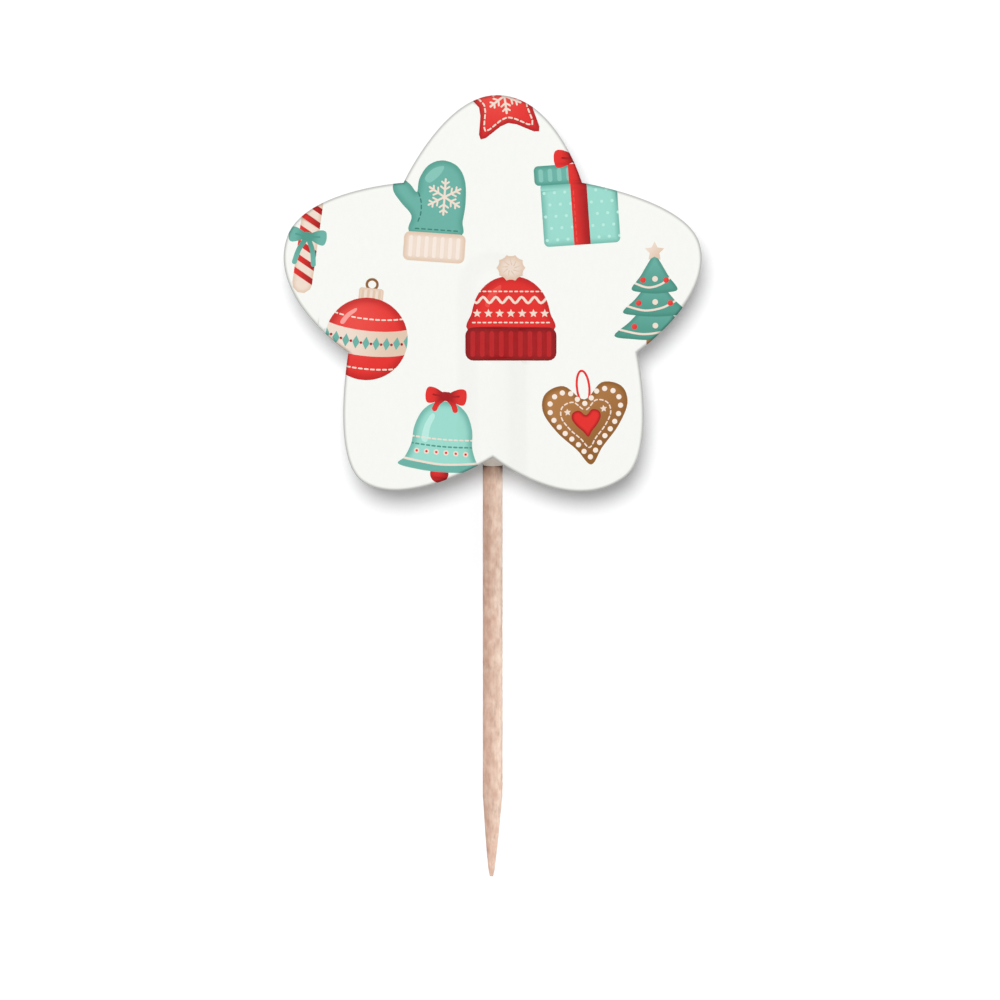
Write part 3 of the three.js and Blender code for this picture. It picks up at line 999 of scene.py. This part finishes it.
def make_stick():
    """The stick as rings of points, which lie closest together near its tip."""
    point_heights = STICK_POINT_LENGTH * np.linspace(0, 1, POINT_RINGS + 1) ** POINT_RING_CROWDING
    shank_heights = np.linspace(STICK_POINT_LENGTH, STICK_LENGTH - STICK_END_CHAMFER, SHANK_RINGS)[1:]
    heights = np.r_[point_heights, shank_heights, STICK_LENGTH]
    share = np.clip(heights / STICK_POINT_LENGTH, 0, 1)
    radii = STICK_POINT_RADIUS + (STICK_RADIUS - STICK_POINT_RADIUS) * share ** STICK_POINT_FULLNESS
    radii[-1] -= STICK_END_CHAMFER
    room_for_ripples = sum(rise for rise, _, _ in SHANK_RIPPLES) / 3
    rng = np.random.default_rng(7)
    phases = rng.uniform(0, 2 * math.pi, len(SHANK_RIPPLES) + 1)
    angles = np.linspace(0, 2 * math.pi, STICK_SIDES, endpoint=False)
    vertices = []
    for height, radius in zip(heights, radii):
        lean = STICK_POINT_LEAN * smooth(1 - height / STICK_POINT_LENGTH)
        lift = sum(ripple(wave, phase, angles, height) for wave, phase in zip(SHANK_RIPPLES, phases))
        if height < STICK_POINT_LENGTH:
            lift += ripple(POINT_RIPPLE, phases[-1], angles, height) - POINT_RIPPLE[0]
        r = radius - room_for_ripples + lift * min(1, radius)
        vertices += [(x, y, height) for x, y in around(-lean, 0, r, r, angles)]
    following = [(i + 1) % STICK_SIDES for i in range(STICK_SIDES)]
    faces = []
    for ring in range(len(heights) - 1):
        a, b = ring * STICK_SIDES, (ring + 1) * STICK_SIDES
        faces += [[a + i, a + j, b + j, b + i] for i, j in enumerate(following)]
    last_ring = len(vertices) - STICK_SIDES
    low, high = len(vertices), len(vertices) + 1
    vertices += [(-STICK_POINT_LEAN, 0, 0), (0, 0, STICK_LENGTH)]
    for i, j in enumerate(following):
        faces += [[low, j, i], [high, last_ring + i, last_ring + j]]
    return new_object("wooden_stick", np.array(vertices) * MM, faces, wood_material(), smooth_angle=40)


def make_painted_shade_glue_bead(outline):
    """The bead in the notch: it climbs from the stick's front up to the card's cut edges. Its grey is
    painted shade.
    """
    near = outline[(np.abs(outline[:, 0]) < 2 * STICK_RADIUS) & (outline[:, 1] < 0)]
    near = near[np.argsort(near[:, 0])]
    half = STICK_RADIUS + BEAD_SIDE_OVERLAP
    across = np.linspace(-half, half, BEAD_TOP_POINTS)
    notch = np.stack([across, np.interp(across, near[:, 0], near[:, 1])], axis=1)
    foot = min(BEAD_FOOT - STAR_CENTRE_HEIGHT, min(notch[0, 1], notch[-1, 1]) - BEAD_GRID[1])
    back_across = np.linspace(half, -half, BEAD_FOOT_POINTS)[1:-1]
    sag = BEAD_SAG * np.cos(back_across / STICK_RADIUS * math.pi / 2)
    edge = np.concatenate([notch, np.stack([back_across, foot - sag], axis=1)])[::-1]
    points, triangles, _ = triangulate([edge], grid_inside(edge, *BEAD_GRID))

    to_card = np.min(np.linalg.norm(points[:, None] - notch[None], axis=2), axis=1)
    climb = smooth(1 - to_card / (notch[:, 1].max() - foot))
    front = (stick_front(points) - BEAD_SKIN) * (1 - climb) + BEAD_FRONT * climb
    vertices, faces = closed_sheet(points, triangles, front, bead_back, [])
    # The bead's grey stands for the shade under the card's edges: painted shade
    glue = glue_material("painted_shade_glue_bead", NOTCH_PAINTED_SHADE, 0.4)
    return new_object("painted_shade_glue_bead", vertices, faces, glue, smooth_angle=40)


outline = inset(star_outline(), OUTLINE_CLEARANCE)

card = make_front_card(outline)
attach(card, "root")
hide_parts("front_card")

backing = make_backing_sheet(outline)
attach(backing, "root")
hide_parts("backing_sheet")

stick = make_stick()
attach(stick, "root")
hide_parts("stick")

bead = make_painted_shade_glue_bead(outline)
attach(bead, "root")

film = glue_material("adhesive_film", FILM_GLUE, 0.4)
glue = glue_material("craft_glue", FILLET_GLUE, 0.3)
for name, material in (("adhesive_film", film), ("glue_fillet_left", glue), ("glue_fillet_right", glue)):
    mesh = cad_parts[name].data
    mesh.materials.clear()
    mesh.materials.append(material)


# Stage: a far floor, and a backdrop close behind the object, which is turned a little so that a view
# from the right side doesn't show it
WALL_DEPTH = 3.0
WALL_LEAN = 0.01
WALL_HALF = 60
WALL_FOOT = -18
WALL_TOP = 106
WALL_COLOUR = (0.902, 0.905, 0.914)
FLOOR_DROP = 250
FLOOR_HALF = 2000
FLOOR_COLOUR = (0.8, 0.8, 0.8)

# The ground's glow near the star's middle and away from it, and the distances between which it rises
WALL_GLOW = (0.127, 0.2)
FLOOR_GLOW = (0.9, 0.9)
GLOW_RISE = (28, 40)


def is_seen(tree):
    """1 for rays from the camera, and for what gloss and glass show."""
    path = node(tree, "ShaderNodeLightPath").outputs
    seen = calculate(tree, "MAXIMUM", path["Is Camera Ray"], path["Is Glossy Ray"])
    return calculate(tree, "MAXIMUM", seen, path["Is Transmission Ray"])


def stage_material(name, colour, near_glow, far_glow):
    """A matt pale ground whose faint glow, stronger away from the star, brings it up to white."""
    material, tree, _ = new_material(name)
    tree.nodes.clear()
    diffuse = node(tree, "ShaderNodeBsdfDiffuse", Color=(*colour, 1))
    place = node(tree, "ShaderNodeTexCoord").outputs["Object"]
    star_middle = (0, WALL_DEPTH * MM, STAR_CENTRE_HEIGHT * MM)
    away = node(tree, "ShaderNodeVectorMath", place, star_middle, operation="DISTANCE")
    distance = away.outputs["Value"]
    glow_there = remap(tree, distance, GLOW_RISE[0] * MM, GLOW_RISE[1] * MM, near_glow, far_glow)
    strength = calculate(tree, "MULTIPLY", is_seen(tree), glow_there)
    lit = node(tree, "ShaderNodeEmission", Color=(1, 1, 1, 1), Strength=strength)
    both = node(tree, "ShaderNodeAddShader", diffuse.outputs[0], lit.outputs[0])
    clear = node(tree, "ShaderNodeBsdfTransparent")
    from_behind = node(tree, "ShaderNodeNewGeometry").outputs["Backfacing"]
    mix = node(tree, "ShaderNodeMixShader", from_behind, both.outputs[0], clear.outputs[0])
    node(tree, "ShaderNodeOutputMaterial", mix.outputs[0])
    return material


def stage_plane(name, corners, material):
    """A ground that the camera sees and that throws neither shadow nor light on the object."""
    mesh = bpy.data.meshes.new(name)
    mesh.from_pydata([Vector(c) * MM for c in corners], [], [(0, 1, 2, 3)])
    mesh.materials.append(material)
    plane = bpy.data.objects.new(name, mesh)
    bpy.context.scene.collection.objects.link(plane)
    plane.visible_shadow = False
    plane.visible_diffuse = False


wall_left, wall_right = WALL_DEPTH + WALL_LEAN * WALL_HALF, WALL_DEPTH - WALL_LEAN * WALL_HALF
stage_plane("backdrop", [
    (-WALL_HALF, wall_left, WALL_FOOT), (WALL_HALF, wall_right, WALL_FOOT),
    (WALL_HALF, wall_right, WALL_TOP), (-WALL_HALF, wall_left, WALL_TOP),
], stage_material("backdrop", WALL_COLOUR, *WALL_GLOW))
stage_plane("floor", [
    (-FLOOR_HALF, -FLOOR_HALF, -FLOOR_DROP), (FLOOR_HALF, -FLOOR_HALF, -FLOOR_DROP),
    (FLOOR_HALF, FLOOR_HALF, -FLOOR_DROP), (-FLOOR_HALF, FLOOR_HALF, -FLOOR_DROP),
], stage_material("floor", FLOOR_COLOUR, *FLOOR_GLOW))

# The photograph shows no shadow of the stick
stick.visible_shadow = False


# Light and camera
LIT_HEIGHT = 55
AMBIENT = 0.26


def lamp(name, direction, distance, size, level, bounces=0):
    """A round soft lamp, in metres, that brings a white surface facing it to the given level.

    Without bounces, what it lights throws none of its light on anything else, such as the backdrop.
    """
    data = bpy.data.lights.new(name, "AREA")
    data.shape = "DISK"
    data.cycles.max_bounces = bounces
    data.size = size
    data.energy = level * math.pi ** 2 * (distance ** 2 + (size / 2) ** 2)
    thing = bpy.data.objects.new(name, data)
    away = Vector(direction).normalized()
    thing.location = Vector((0, 0, LIT_HEIGHT * MM)) + away * distance
    thing.rotation_mode = "QUATERNION"
    thing.rotation_quaternion = (-away).to_track_quat("-Z", "Y")
    thing.visible_camera = False
    bpy.context.scene.collection.objects.link(thing)


lamp("key", (-0.13, -1, 0.335), 3.0, 1.85, 0.783, bounces=12)
lamp("left_side", (-1, 0.3, 0.1), 0.8, 0.4, 0.25)
lamp("right_side", (1, 0.3, 0.1), 0.8, 0.4, 0.4)
lamp("rear", (0.3, 1, 0.5), 0.8, 0.5, 0.56)

world = bpy.data.worlds.new("studio")
bpy.context.scene.world = world
world.use_nodes = True
sky = world.node_tree
background = sky.nodes["Background"]
feed(sky, background.inputs["Color"], (1, 1, 1, 1))
feed(sky, background.inputs["Strength"], remap(sky, is_seen(sky), 0, 1, AMBIENT, 1.0))

# The photograph is 1000 pixels wide and shows 110 mm; its centre is a little right of the stick
VIEW_WIDTH = 110
VIEW_CENTRE = (0.8, 41.5)
LENS = 150
SENSOR = 36
camera_data = bpy.data.cameras.new("camera")
camera_data.lens = LENS
camera_data.sensor_width = SENSOR
camera_data.clip_start = 0.01
camera_data.clip_end = 20
camera = bpy.data.objects.new("camera", camera_data)
camera_distance = VIEW_WIDTH * LENS / SENSOR
camera.location = Vector((VIEW_CENTRE[0], CARD_FRONT - camera_distance, VIEW_CENTRE[1])) * MM
camera.rotation_euler = (math.radians(90), 0, 0)
bpy.context.scene.collection.objects.link(camera)
bpy.context.scene.camera = camera
bpy.context.scene.view_settings.view_transform = "Standard"
